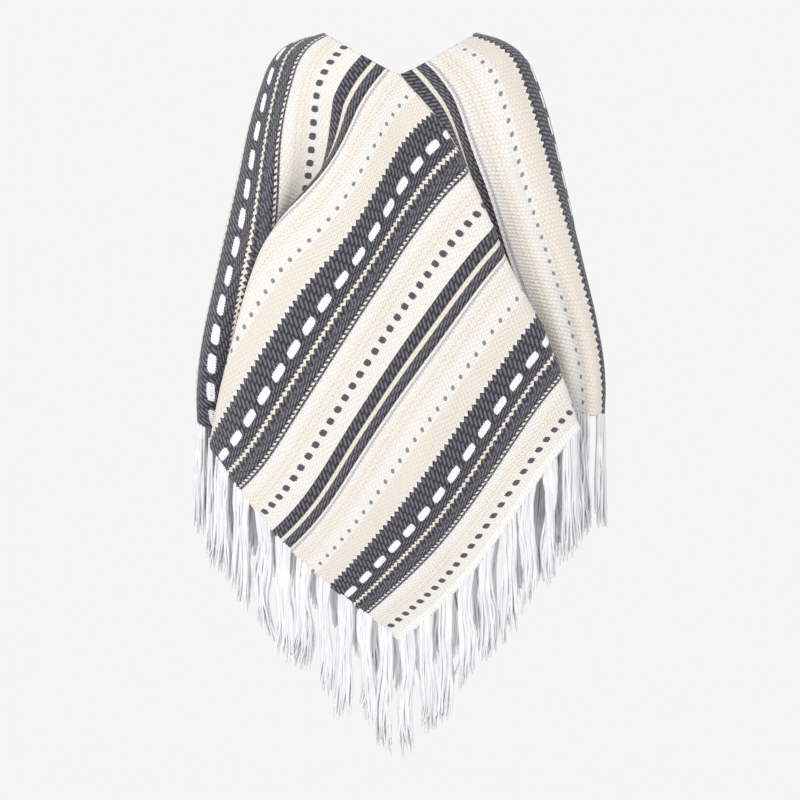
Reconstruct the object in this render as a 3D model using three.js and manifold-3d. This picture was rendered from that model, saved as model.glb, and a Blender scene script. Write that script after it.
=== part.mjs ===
// Knitted poncho made of two equal striped panels with a tassel fringe, draped as worn.
// Millimetres, +Z up, front towards -Y, +X at the viewer's right. The origin lies in the
// middle of the neck, level with the two tops of the neckline on the shoulders.
import * as THREE from 'three';
import Module from 'manifold-3d';

const wasm = await Module();
wasm.setup();

// Flat cut of each panel: a rectangle whose short sewn end meets the long edge of the other
const PANEL_LENGTH = 900;
const PANEL_WIDTH = 540;
const NECK_EDGE = PANEL_LENGTH - PANEL_WIDTH;
const WALL = 4;
const SEAM_GAP = 0.4;
const CORNER_REACH = 790;

// Stripes across the panel, in order along its length; height is the raised relief of the
// thick stripes over the plain ground, and the set repeats up from the hem
const HEM_TO_FIRST_STRIPE = 166;
const STRIPE_ROWS = [
  { name: 'wide_dark', width: 27, height: 1.4 },
  { name: 'ovals', width: 10, height: 0 },
  { name: 'mottled', width: 15, height: 0 },
  { name: 'cream', width: 7, height: 0 },
  { name: 'two_tone', width: 22, height: 1.2 },
  { name: 'white_to_pair', width: 81, height: 0 },
  { name: 'pair_upper', width: 17, height: 1.2 },
  { name: 'pair_cream', width: 8, height: 0 },
  { name: 'pair_lower', width: 14, height: 1.2 },
  { name: 'white_to_band', width: 97, height: 0 },
];
const RAMP = 1.5;
const U_STEP = 36;

// Line down the middle of each side, by distance from the neckline: where it runs and which
// length of the front panel and of the back panel lies on it
const SIDE_ROWS = [
  { s: 0, x: 112, z: 0, uFront: 180, uBack: 180 },
  { s: 40, x: 151, z: -12, uFront: 165, uBack: 172 },
  { s: 70, x: 177, z: -29, uFront: 152, uBack: 166 },
  { s: 92, x: 190, z: -47, uFront: 144, uBack: 162 },
  { s: 128, x: 205, z: -83, uFront: 137, uBack: 159 },
  { s: 175, x: 221, z: -135, uFront: 132, uBack: 158 },
  { s: 236, x: 237, z: -204, uFront: 127, uBack: 158 },
  { s: 297, x: 253, z: -274, uFront: 124, uBack: 157 },
  { s: 357, x: 269, z: -343, uFront: 122, uBack: 156 },
  { s: 415, x: 284, z: -413, uFront: 121, uBack: 155 },
  { s: 473, x: 295, z: -483, uFront: 120, uBack: 153 },
  { s: 502, x: 297, z: -517, uFront: 119, uBack: 152 },
  { s: 540, x: 296, z: -558, uFront: 118, uBack: 150 },
  { s: 790, x: 305, z: -810, uFront: 118, uBack: 150 },
];

// Middle line of the front and of the back, by distance from the point of the V
const MIDDLE_ROWS = [
  { s: 0, frontY: -90, frontZ: -65, backY: 88, backZ: -65 },
  { s: 60, frontY: -98, frontZ: -125, backY: 98, backZ: -122 },
  { s: 107, frontY: -106, frontZ: -175, backY: 106, backZ: -168 },
  { s: 180, frontY: -120, frontZ: -265, backY: 118, backZ: -250 },
  { s: 250, frontY: -130, frontZ: -355, backY: 127, backZ: -334 },
  { s: 337, frontY: -140, frontZ: -465, backY: 136, backZ: -432 },
  { s: 430, frontY: -149, frontZ: -578, backY: 145, backZ: -530 },
  { s: 529, frontY: -158, frontZ: -693, backY: 153, backZ: -632 },
  { s: 620, frontY: -164, frontZ: -775, backY: 158, backZ: -710 },
  { s: 764, frontY: -168, frontZ: -880, backY: 162, backZ: -812 },
  { s: 790, frontY: -169, frontZ: -899, backY: 163, backZ: -830 },
];

// Shape of a ring round the body: roundness is the power of its oval, narrow is how far the
// cloth draws in on its bias, and the rise columns lift the ring from its middle to its side
const RING_ROWS = [
  { s: 0, roundness: 2.3, narrow: 0.87, riseSeam: 1.25, endSeam: 1, risePlain: 1.25 },
  { s: 60, roundness: 2.2, narrow: 0.87, riseSeam: 1.6, endSeam: 1, risePlain: 1.6 },
  { s: 150, roundness: 2.1, narrow: 0.87, riseSeam: 2.1, endSeam: 1, risePlain: 2.2 },
  { s: 300, roundness: 2.2, narrow: 0.87, riseSeam: 2.4, endSeam: 0.95, risePlain: 2.8 },
  { s: 540, roundness: 2.7, narrow: 0.84, riseSeam: 2.6, endSeam: 0.82, risePlain: 4.2 },
  { s: 790, roundness: 2.7, narrow: 0.84, riseSeam: 2.6, endSeam: 0.82, risePlain: 4.2 },
];
const BACK_RISE = 0.72;

// The deep fold in front of and behind each arm: offset of its middle from the line that runs
// down from the V, length of cloth in it, and its turn inwards from straight front to back
const SEAM_FOLD_ROWS = [
  { s: 0, offset: 40, length: 100, turn: 40 },
  { s: 100, offset: 40, length: 110, turn: 40 },
  { s: 200, offset: 30, length: 120, turn: 45 },
  { s: 300, offset: 22, length: 135, turn: 55 },
  { s: 420, offset: 16, length: 165, turn: 60 },
  { s: 540, offset: 2, length: 195, turn: 62 },
  { s: 790, offset: 0, length: 310, turn: 62 },
];
const PLAIN_FOLD_ROWS = [
  { s: 0, offset: 50, length: 100, turn: 40 },
  { s: 100, offset: 60, length: 120, turn: 40 },
  { s: 200, offset: 75, length: 140, turn: 50 },
  { s: 300, offset: 75, length: 170, turn: 55 },
  { s: 420, offset: 75, length: 225, turn: 60 },
  { s: 540, offset: 72, length: 282, turn: 62 },
  { s: 790, offset: 72, length: 440, turn: 62 },
];
const FOLD_SOFTNESS = 30;
const FOLD_STARTS = 20;
const FOLD_FULL = 190;

// Softer troughs and ridges: a line on the flat panel from (u1, v1) to (u2, v2), half width
// and height outwards, the same rows on the front panel as on the back one where both is set
const CREASE_ROWS = [
  { panel: 'back', u1: 88, v1: 110, u2: 92, v2: 560, width: 17, height: -13 },
  { panel: 'front', u1: 84, v1: 150, u2: 96, v2: 560, width: 20, height: -10 },
  { panel: 'front', u1: 470, v1: 60, u2: 640, v2: 330, width: 42, height: -5 },
  { panel: 'front', u1: 640, v1: 190, u2: 860, v2: 470, width: 46, height: 6 },
  { panel: 'front', u1: 560, v1: 330, u2: 700, v2: 560, width: 34, height: -6 },
  { panel: 'back', u1: 480, v1: 90, u2: 700, v2: 300, width: 44, height: -6 },
  { panel: 'back', u1: 600, v1: 260, u2: 880, v2: 500, width: 48, height: 7 },
  { panel: 'back', u1: 500, v1: 300, u2: 640, v2: 560, width: 36, height: -6 },
];

// Tassel fringe along both free edges of each panel
const STRIP_WIDTH = 8;
const TASSELS = 29;
const LOCKS_PER_TASSEL = 4;
const LOCK_SPACING = 8.5;
const LOCK_LENGTH = 158;
const LOCK_ROOT = 1.8;
const LOCK_BELLY = 4.3;
const LOCK_SPREAD = 3.6;
const LOCK_DEPTH = 3;
const TASSEL_SWAY = 4;
const LOCK_CLEARANCE = 0.8;
// How far the locks' lengths vary, and the steps from tassel to tassel and from lock to lock
// in the sines that vary their lengths and their sway
const LENGTH_VARIES = 0.07;
const LENGTH_STEP_TASSEL = 1.7;
const LENGTH_STEP_LOCK = 2.6;
const SWAY_STEP = 2.4;
const TWIST_STEP = 0.7;
// Where along a lock it is fullest
const BELLY_AT = 0.72;

// A smooth curve through one column of a table
function column(rows, name, s) {
  const last = rows.length - 1;
  const at = Math.min(Math.max(s, rows[0].s), rows[last].s);
  let i = 0;
  while (i < last - 1 && at > rows[i + 1].s) i += 1;
  const slope = (k) => {
    const step = (j) => (rows[j + 1][name] - rows[j][name]) / (rows[j + 1].s - rows[j].s);
    if (k === 0) return step(0);
    if (k === last) return step(last - 1);
    const before = rows[k].s - rows[k - 1].s;
    const after = rows[k + 1].s - rows[k].s;
    return (step(k - 1) * after + step(k) * before) / (before + after);
  };
  const span = rows[i + 1].s - rows[i].s;
  const t = (at - rows[i].s) / span;
  const a = (2 * t ** 3 - 3 * t ** 2 + 1) * rows[i][name] + (t ** 3 - 2 * t ** 2 + t) * span * slope(i);
  const b = (3 * t ** 2 - 2 * t ** 3) * rows[i + 1][name] + (t ** 3 - t ** 2) * span * slope(i + 1);
  return a + b;
}

function smoothStep(from, to, x) {
  const t = Math.min(Math.max((x - from) / (to - from), 0), 1);
  return t * t * (3 - 2 * t);
}

// Piecewise straight lookup in a list of evenly spaced values
function lookup(list, place) {
  const i = Math.min(Math.max(Math.floor(place), 0), list.length - 2);
  const t = Math.min(Math.max(place - i, 0), 1);
  return list[i] * (1 - t) + list[i + 1] * t;
}

// Quarter of an oval from its middle to its side, as points at even distances
const OVAL_STEPS = 400;
function ovalQuarter(halfWidth, depth, power) {
  const points = [];
  let length = 0;
  for (let i = 0; i <= OVAL_STEPS; i += 1) {
    const angle = (i / OVAL_STEPS) * Math.PI / 2;
    const x = halfWidth * Math.sin(angle) ** (2 / power);
    const y = depth * Math.cos(angle) ** (2 / power);
    if (i > 0) length += Math.hypot(x - points[i - 1].x, y - points[i - 1].y);
    points.push({ x, y, length });
  }
  const xs = [];
  const ys = [];
  let k = 0;
  for (let i = 0; i <= OVAL_STEPS; i += 1) {
    const target = (length * i) / OVAL_STEPS;
    while (k < OVAL_STEPS - 1 && points[k + 1].length < target) k += 1;
    const gap = points[k + 1].length - points[k].length;
    const t = gap > 0 ? (target - points[k].length) / gap : 0;
    xs.push(points[k].x + (points[k + 1].x - points[k].x) * t);
    ys.push(points[k].y + (points[k + 1].y - points[k].y) * t);
  }
  return { xs, ys, length };
}

// The fold follows a bent strip whose heading swings out and back as a sine
const FOLD_STEPS = 96;
function foldCurve(swing, length) {
  const along = [0];
  const inward = [0];
  for (let i = 1; i <= FOLD_STEPS; i += 1) {
    const heading = swing * Math.sin((2 * Math.PI * (i - 0.5)) / FOLD_STEPS);
    along.push(along[i - 1] + (Math.cos(heading) * length) / FOLD_STEPS);
    inward.push(inward[i - 1] + (Math.sin(heading) * length) / FOLD_STEPS);
  }
  return { along, inward };
}

// The swing that takes up a given share of the fold's cloth
function swingFor(share) {
  let low = 0;
  let high = 2.4;
  for (let i = 0; i < 40; i += 1) {
    const middle = (low + high) / 2;
    const taken = 1 - foldCurve(middle, 1).along[FOLD_STEPS];
    if (taken < share) low = middle;
    else high = middle;
  }
  return (low + high) / 2;
}

// One quarter of a ring, from the middle of the front or back to the side. The panel that is
// sewn along the quarter's seam line brings seam true; half is front or back.
const RING_STEP = 4;
function clothAcross(s) {
  return (column(RING_ROWS, 'narrow', s) * Math.PI * s) / 4;
}
function clothLength(seam, half, s) {
  const u = column(SIDE_ROWS, (half === 'front') === seam ? 'uBack' : 'uFront', s);
  return clothAcross(s) + (seam ? u : NECK_EDGE - u);
}
function makeRing(seam, half, s) {
  const depth = Math.abs(column(MIDDLE_ROWS, `${half}Y`, s));
  const oval = ovalQuarter(column(SIDE_ROWS, 'x', s), depth, column(RING_ROWS, 'roundness', s));
  const cloth = clothLength(seam, half, s);
  const spare = cloth - oval.length;
  const excess = ((spare + Math.hypot(spare, FOLD_SOFTNESS)) / 2) * smoothStep(FOLD_STARTS, FOLD_FULL, s);
  const stretch = (oval.length + excess) / cloth;
  const foldRows = seam ? SEAM_FOLD_ROWS : PLAIN_FOLD_ROWS;
  const length = column(foldRows, 'length', s);
  const start = (clothAcross(s) + column(foldRows, 'offset', s)) * stretch - length / 2;
  const fold = foldCurve(swingFor(Math.min(excess / length, 0.98)), length);
  const turn = THREE.MathUtils.degToRad(column(foldRows, 'turn', s));
  const low = column(MIDDLE_ROWS, `${half}Z`, s);
  const high = column(SIDE_ROWS, 'z', s);
  const power = column(RING_ROWS, seam ? 'riseSeam' : 'risePlain', s) * (half === 'back' ? BACK_RISE : 1);
  const end = seam ? column(RING_ROWS, 'endSeam', s) : 1;
  return { oval, cloth, stretch, length, start, fold, turn, low, high, power, end };
}
function ringPoint(ring, c) {
  const along = c * ring.stretch;
  const place = ((along - ring.start) / ring.length) * FOLD_STEPS;
  const taken = ring.length - ring.fold.along[FOLD_STEPS];
  let t = along;
  let inward = 0;
  if (place > FOLD_STEPS) t = along - taken;
  else if (place > 0) {
    t = ring.start + lookup(ring.fold.along, place);
    inward = lookup(ring.fold.inward, place);
  }
  const share = Math.min(Math.max(t / ring.oval.length, 0), 1);
  const rise = Math.sin(Math.min(share / ring.end, 1) * Math.PI / 2) ** ring.power;
  return new THREE.Vector3(
    lookup(ring.oval.xs, share * OVAL_STEPS) - Math.sin(ring.turn) * inward,
    -lookup(ring.oval.ys, share * OVAL_STEPS) + Math.cos(ring.turn) * inward,
    ring.low + (ring.high - ring.low) * rise,
  );
}
const rings = new Map();
function ringAt(seam, half, index) {
  const key = `${seam} ${half} ${index}`;
  if (!rings.has(key)) rings.set(key, makeRing(seam, half, index * RING_STEP));
  return rings.get(key);
}
function quarterPoint(seam, half, s, c) {
  const share = c / clothLength(seam, half, s);
  const index = Math.floor(Math.min(s, CORNER_REACH - RING_STEP) / RING_STEP);
  const lower = ringAt(seam, half, index);
  const upper = ringAt(seam, half, index + 1);
  const t = s / RING_STEP - index;
  return ringPoint(lower, share * lower.cloth).lerp(ringPoint(upper, share * upper.cloth), t);
}

// Middle of the cloth at a place on the flat front panel: u along from the sewn end, v across
// from the neckline. The back panel is the same, turned half round about Z.
function drapedPoint(panel, u, v) {
  const own = panel === 'front' ? 'front' : 'back';
  const other = panel === 'front' ? 'back' : 'front';
  const beyond = u - NECK_EDGE;
  const s = beyond > 0 ? Math.hypot(beyond, v) : v;
  const across = clothAcross(s);
  const point = new THREE.Vector3();
  if (beyond > 0) {
    const turned = Math.atan2(beyond, Math.max(v, 0)) / (Math.PI / 4);
    if (turned >= 1) point.copy(quarterPoint(true, own, s, across * (turned - 1)));
    else point.copy(quarterPoint(false, own, s, across * (1 - turned))).multiply(MIRROR_X);
  } else if (u >= column(SIDE_ROWS, panel === 'front' ? 'uFront' : 'uBack', s)) {
    point.copy(quarterPoint(false, own, s, across + NECK_EDGE - u)).multiply(MIRROR_X);
  } else {
    point.copy(quarterPoint(true, other, s, across + u)).multiply(HALF_TURN);
  }
  return panel === 'front' ? point : point.multiply(HALF_TURN);
}
const MIRROR_X = new THREE.Vector3(-1, 1, 1);
const HALF_TURN = new THREE.Vector3(-1, -1, 1);

// Outward direction of the cloth, from small steps on the panel
const PROBE = 3;
function outward(panel, u, v) {
  const alongU = drapedPoint(panel, u + PROBE, v).sub(drapedPoint(panel, Math.max(u - PROBE, 0), v));
  const alongV = drapedPoint(panel, u, v + PROBE).sub(drapedPoint(panel, u, Math.max(v - PROBE, 0)));
  return alongV.cross(alongU).normalize();
}

// Height of the soft creases at a place on the panel, fading out towards the sewn edges
const CREASE_MARGIN = 40;
function creaseHeight(panel, u, v) {
  let height = 0;
  for (const row of CREASE_ROWS) {
    if (row.panel !== panel) continue;
    const du = row.u2 - row.u1;
    const dv = row.v2 - row.v1;
    const reach = Math.hypot(du, dv);
    const t = ((u - row.u1) * du + (v - row.v1) * dv) / reach ** 2;
    const off = ((u - row.u1) * dv - (v - row.v1) * du) / reach;
    const ends = smoothStep(-0.15, 0.3, t) * (1 - smoothStep(0.8, 1.15, t));
    height += row.height * ends * Math.exp(-((off / row.width) ** 2));
  }
  const nearEnd = smoothStep(0, CREASE_MARGIN, u);
  const nearEdge = u >= NECK_EDGE ? smoothStep(0, CREASE_MARGIN, v) : 1;
  return height * nearEnd * nearEdge;
}

// Lines of the panel's net along its length: the edges of each raised stripe, then the gaps
// between them are filled evenly
function stripeEdges() {
  const repeat = STRIPE_ROWS.reduce((sum, row) => sum + row.width, 0);
  const edges = [];
  for (let set = -3; set <= 0; set += 1) {
    let u = PANEL_LENGTH - HEM_TO_FIRST_STRIPE + set * repeat;
    for (const row of STRIPE_ROWS) {
      if (row.height > 0) edges.push({ from: u, to: u + row.width, height: row.height });
      u += row.width;
    }
  }
  return edges.filter((edge) => edge.to < PANEL_LENGTH - RAMP && edge.from > RAMP);
}
const STRIPES = stripeEdges();
function raised(u) {
  for (const edge of STRIPES) {
    if (u > edge.from - 0.01 && u < edge.to + 0.01) {
      return Math.min(1, Math.min(u - edge.from, edge.to - u) / RAMP) * edge.height;
    }
  }
  return 0;
}
function lengthLines() {
  const fixed = [0, NECK_EDGE, PANEL_LENGTH];
  for (const edge of STRIPES) fixed.push(edge.from, edge.from + RAMP, edge.to - RAMP, edge.to);
  fixed.sort((a, b) => a - b);
  const lines = [0];
  for (let i = 1; i < fixed.length; i += 1) {
    const start = lines[lines.length - 1];
    const gap = fixed[i] - start;
    const count = Math.max(1, Math.ceil(gap / U_STEP));
    for (let k = 1; k <= count; k += 1) lines.push(start + (gap * k) / count);
  }
  return lines;
}
const U_LINES = lengthLines();

// Lines across the panel are picked from the other panel's lines along the seam, so that both
// sides of the seam share their points
const V_STEP = 20;
function widthLines() {
  const seam = U_LINES.filter((u) => u >= NECK_EDGE).map((u) => u - NECK_EDGE);
  const lines = [0];
  for (const r of seam) {
    if (r - lines[lines.length - 1] >= V_STEP && PANEL_WIDTH - r >= V_STEP / 2) lines.push(r);
  }
  lines.push(PANEL_WIDTH);
  return lines;
}
const V_LINES = widthLines();

// Frame along a seam at distance r from the point of the V: middle, outward direction and the
// direction across the seam into the panel whose end is sewn on
function seamFrame(endPanel, r) {
  let k = 0;
  while (k < V_LINES.length - 2 && r > V_LINES[k + 1]) k += 1;
  const t = (r - V_LINES[k]) / (V_LINES[k + 1] - V_LINES[k]);
  const frameAt = (v) => {
    const middle = drapedPoint(endPanel, 0, v);
    const out = outward(endPanel, 0, v);
    const down = drapedPoint(endPanel, 0, v + PROBE).sub(drapedPoint(endPanel, 0, Math.max(v - PROBE, 0)));
    const into = out.clone().cross(down).normalize();
    if (into.dot(drapedPoint(endPanel, PROBE, v).sub(middle)) < 0) into.negate();
    return { middle, out, into };
  };
  const a = frameAt(V_LINES[k]);
  const b = frameAt(V_LINES[k + 1]);
  return { middle: a.middle.lerp(b.middle, t), out: a.out.lerp(b.out, t), into: a.into.lerp(b.into, t) };
}

// Outer and inner point of the cloth at one crossing of the net
function wallPoints(panel, u, v) {
  const other = panel === 'front' ? 'back' : 'front';
  let frame = null;
  let side = 0;
  if (u === 0) {
    frame = seamFrame(panel, v);
    side = 1;
  } else if (v === 0 && u >= NECK_EDGE) {
    frame = seamFrame(other, u - NECK_EDGE);
    side = -1;
  } else {
    frame = { middle: drapedPoint(panel, u, v), out: outward(panel, u, v), into: MIRROR_X };
    frame.middle.addScaledVector(frame.out, creaseHeight(panel, u, v));
  }
  const middle = frame.middle.clone();
  if (side !== 0) middle.addScaledVector(frame.into, (side * SEAM_GAP) / 2);
  const relief = side === 0 ? raised(u) : 0;
  const outer = middle.clone().addScaledVector(frame.out, WALL / 2 + relief);
  const inner = middle.clone().addScaledVector(frame.out, -WALL / 2);
  return { outer, inner };
}

// A closed wall from a net of outer and inner points
function netWall(net) {
  const rows = net.length;
  const cols = net[0].length;
  const positions = [];
  for (const layer of ['outer', 'inner']) {
    for (const row of net) for (const cell of row) positions.push(...cell[layer].toArray());
  }
  const outer = (i, j) => i * cols + j;
  const inner = (i, j) => rows * cols + i * cols + j;
  const triangles = [];
  const quad = (a, b, c, d) => triangles.push(a, b, c, a, c, d);
  for (let i = 0; i < rows - 1; i += 1) {
    for (let j = 0; j < cols - 1; j += 1) {
      quad(outer(i, j), outer(i, j + 1), outer(i + 1, j + 1), outer(i + 1, j));
      quad(inner(i, j), inner(i + 1, j), inner(i + 1, j + 1), inner(i, j + 1));
    }
  }
  for (let i = 0; i < rows - 1; i += 1) {
    quad(outer(i, 0), outer(i + 1, 0), inner(i + 1, 0), inner(i, 0));
    quad(outer(i + 1, cols - 1), outer(i, cols - 1), inner(i, cols - 1), inner(i + 1, cols - 1));
  }
  for (let j = 0; j < cols - 1; j += 1) {
    quad(outer(0, j), inner(0, j), inner(0, j + 1), outer(0, j + 1));
    quad(outer(rows - 1, j), outer(rows - 1, j + 1), inner(rows - 1, j + 1), inner(rows - 1, j));
  }
  return toSolid(positions, triangles);
}

function toSolid(positions, triangles) {
  const mesh = new wasm.Mesh({
    numProp: 3,
    vertProperties: new Float32Array(positions),
    triVerts: new Uint32Array(triangles),
  });
  return new wasm.Manifold(mesh);
}
function toGeometry(solid) {
  const mesh = solid.getMesh();
  const geometry = new THREE.BufferGeometry();
  geometry.setAttribute('position', new THREE.BufferAttribute(new Float32Array(mesh.vertProperties), 3));
  geometry.setIndex(new THREE.BufferAttribute(new Uint32Array(mesh.triVerts), 1));
  geometry.computeVertexNormals();
  return geometry;
}

function panelSolid(panel) {
  return netWall(U_LINES.map((u) => V_LINES.map((v) => wallPoints(panel, u, v))));
}

// The free edge of a panel as a path: round the long edge from the sewn end to the corner,
// then along the short end to the other seam. Each stop has its place on the flat panel.
function hemStops() {
  const stops = U_LINES.slice(1, -1).map((u) => ({ u, v: PANEL_WIDTH, du: 0, dv: 1, along: u }));
  stops.push({ u: PANEL_LENGTH, v: PANEL_WIDTH, du: 1, dv: 1, along: PANEL_LENGTH });
  for (const v of V_LINES.slice(1, -1).reverse()) {
    stops.push({ u: PANEL_LENGTH, v, du: 1, dv: 0, along: PANEL_LENGTH + PANEL_WIDTH - v });
  }
  return stops;
}

// Middle of the edge strip at each stop, a given distance out from the cloth's edge
function stripLine(panel, off) {
  return hemStops().map((stop) => {
    const u = stop.u + stop.du * off;
    const v = stop.v + stop.dv * off;
    const out = outward(panel, u, v);
    const middle = drapedPoint(panel, u, v).addScaledVector(out, creaseHeight(panel, stop.u, stop.v));
    return { middle, out, along: stop.along };
  });
}

// Narrow edge strip that carries the locks, parted from the cloth's edge
function stripSolid(panel) {
  const lines = [SEAM_GAP, SEAM_GAP + STRIP_WIDTH].map((off) => stripLine(panel, off).reverse());
  return netWall(lines.map((line) => line.map(({ middle, out }) => ({
    outer: middle.clone().addScaledVector(out, WALL / 2),
    inner: middle.clone().addScaledVector(out, -WALL / 2),
  }))));
}

// A lock of yarn: three sided, fuller below its middle and drawn to a point
function lockSolid(root, lean, length, twist) {
  const tip = root.clone().add(new THREE.Vector3(lean.x, lean.y, -length));
  const rings = [{ at: 0, radius: LOCK_ROOT }, { at: BELLY_AT, radius: LOCK_BELLY }];
  const positions = [];
  for (const ring of rings) {
    const centre = root.clone().lerp(tip, ring.at);
    for (let k = 0; k < 3; k += 1) {
      const angle = twist + (2 * Math.PI * k) / 3;
      positions.push(centre.x + ring.radius * Math.cos(angle), centre.y + ring.radius * Math.sin(angle), centre.z);
    }
  }
  positions.push(tip.x, tip.y, tip.z);
  const triangles = [0, 1, 2];
  for (let k = 0; k < 3; k += 1) {
    const next = (k + 1) % 3;
    triangles.push(k, 3 + k, 3 + next, k, 3 + next, next);
    triangles.push(3 + k, 6, 3 + next);
  }
  return toSolid(positions, triangles);
}

// A place in the middle of the strip, by distance along the free edge
function placeOnStrip(line, along) {
  let i = 0;
  while (i < line.length - 2 && along > line[i + 1].along) i += 1;
  const t = (along - line[i].along) / (line[i + 1].along - line[i].along);
  return {
    point: line[i].middle.clone().lerp(line[i + 1].middle, t),
    out: line[i].out.clone().lerp(line[i + 1].out, t),
    run: line[i + 1].middle.clone().sub(line[i].middle).normalize(),
  };
}

// The strip with its tassels' locks, those that hang clear of the cloth and of each other
function fringeSolid(panel, others) {
  const line = stripLine(panel, SEAM_GAP + STRIP_WIDTH / 2);
  const first = line[0].along + LOCK_SPACING;
  const last = line[line.length - 1].along - LOCK_SPACING;
  const locks = [];
  for (let i = 0; i < TASSELS; i += 1) {
    const middle = first + ((last - first) * (i + 0.5)) / TASSELS;
    for (let k = 0; k < LOCKS_PER_TASSEL; k += 1) {
      const step = k - (LOCKS_PER_TASSEL - 1) / 2;
      const { point, out, run } = placeOnStrip(line, middle + step * LOCK_SPACING);
      const lean = run.clone().multiplyScalar(step * LOCK_SPREAD + TASSEL_SWAY * Math.sin(i * SWAY_STEP));
      lean.addScaledVector(out, LOCK_DEPTH * (1 + (k % 2 ? 1 : -1)));
      const varied = LENGTH_VARIES * Math.sin(i * LENGTH_STEP_TASSEL + k * LENGTH_STEP_LOCK);
      const lock = lockSolid(point, lean, LOCK_LENGTH * (1 + varied), i + k * TWIST_STEP);
      if (![...others, ...locks].some((solid) => touches(lock, solid))) locks.push(lock);
    }
  }
  return locks.reduce((whole, lock) => whole.add(lock), stripSolid(panel));
}
function touches(a, b) {
  return a.intersect(b).volume() > 0 || a.minGap(b, LOCK_CLEARANCE) < LOCK_CLEARANCE;
}

// The whole garment
const COLOURS = { cloth: '#e9e4da', fringe: '#f4f3f0' };
function piece(name, solid, colour) {
  const material = new THREE.MeshStandardMaterial({ color: colour, roughness: 0.95, metalness: 0 });
  const mesh = new THREE.Mesh(toGeometry(solid), material);
  mesh.name = name;
  return mesh;
}
const frontPanel = panelSolid('front');
const backPanel = panelSolid('back');
const frontFringe = fringeSolid('front', [frontPanel, backPanel]);
const backFringe = fringeSolid('back', [frontPanel, backPanel, frontFringe]);

const group = new THREE.Group();
group.add(piece('panel_front', frontPanel, COLOURS.cloth));
group.add(piece('panel_back', backPanel, COLOURS.cloth));
group.add(piece('fringe_front', frontFringe, COLOURS.fringe));
group.add(piece('fringe_back', backFringe, COLOURS.fringe));

export default group;
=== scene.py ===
# Knitted poncho as worn: two striped panels, sewn short end to long side, with a white fringe.
# Sizes are in millimetres up to the point where a mesh is made. +Z is up, the front faces -Y.
import math
import random

import bmesh
import bpy
import numpy as np
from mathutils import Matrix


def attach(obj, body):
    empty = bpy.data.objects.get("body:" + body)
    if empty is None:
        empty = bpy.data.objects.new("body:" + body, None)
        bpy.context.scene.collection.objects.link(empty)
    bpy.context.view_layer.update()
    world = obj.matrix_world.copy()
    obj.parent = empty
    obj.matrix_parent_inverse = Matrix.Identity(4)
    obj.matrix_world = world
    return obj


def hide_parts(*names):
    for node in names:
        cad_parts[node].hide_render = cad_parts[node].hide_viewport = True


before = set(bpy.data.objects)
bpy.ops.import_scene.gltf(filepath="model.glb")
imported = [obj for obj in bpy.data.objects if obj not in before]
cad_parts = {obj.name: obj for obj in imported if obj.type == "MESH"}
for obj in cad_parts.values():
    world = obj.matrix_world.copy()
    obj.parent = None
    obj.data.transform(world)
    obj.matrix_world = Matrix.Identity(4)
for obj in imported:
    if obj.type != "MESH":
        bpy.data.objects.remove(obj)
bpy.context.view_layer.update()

# Panels: two equal striped rectangles, each knitted in one piece from chunky soft yarn. The
# short end of each is sewn to the long edge of the other, and what the seams leave free is the
# neck. They hang on the bias from the shoulders, with a deep fold before and behind each arm.
PANEL_LENGTH = 900
PANEL_WIDTH = 540
NECK_EDGE = PANEL_LENGTH - PANEL_WIDTH
CORNER_REACH = 790


def table(names, *rows):
    """Rows of sizes with named columns"""
    return np.array(list(rows), dtype=[(name, float) for name in names.split()])


# Line down the middle of each side, by distance from the neckline, and the length of the
# front and of the back panel that lies on it
SIDE_ROWS = table(
    "s x z u_front u_back",
    (0, 112, 0, 180, 180),
    (40, 151, -12, 160, 181),
    (70, 177, -29, 142, 184),
    (92, 190, -47, 130, 187),
    (128, 205, -83, 120, 189),
    (175, 221, -135, 113, 190),
    (236, 237, -204, 108, 190),
    (297, 253, -274, 104, 190),
    (357, 269, -343, 102, 189),
    (415, 284, -413, 100, 188),
    (473, 295, -483, 99, 187),
    (502, 297, -517, 98, 186),
    (540, 296, -558, 97, 184),
    (790, 305, -810, 97, 184),
)
# Middle line of the front and of the back, by distance from the point of the V
MIDDLE_ROWS = table(
    "s front_y front_z back_y back_z",
    (0, -90, -65, 88, -65),
    (60, -98, -125, 98, -122),
    (107, -106, -175, 106, -168),
    (180, -120, -265, 118, -250),
    (250, -130, -355, 127, -334),
    (337, -140, -465, 136, -432),
    (430, -149, -578, 145, -530),
    (529, -158, -693, 153, -632),
    (620, -164, -775, 158, -710),
    (764, -168, -880, 162, -812),
    (790, -169, -899, 163, -830),
)
# Ring round the body: power of its oval, how far the cloth draws in on its bias, and how the
# ring rises from its middle to its side
RING_ROWS = table(
    "s roundness narrow rise_seam end_seam rise_plain",
    (0, 2.3, 0.87, 1.25, 1, 1.25),
    (60, 2.2, 0.87, 1.6, 1, 1.6),
    (150, 2.1, 0.87, 2.1, 1, 2.2),
    (300, 2.2, 0.87, 2.4, 0.95, 2.8),
    (540, 2.7, 0.84, 2.6, 0.82, 4.2),
    (790, 2.7, 0.84, 2.6, 0.82, 4.2),
)
BACK_RISE = 0.72
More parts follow.
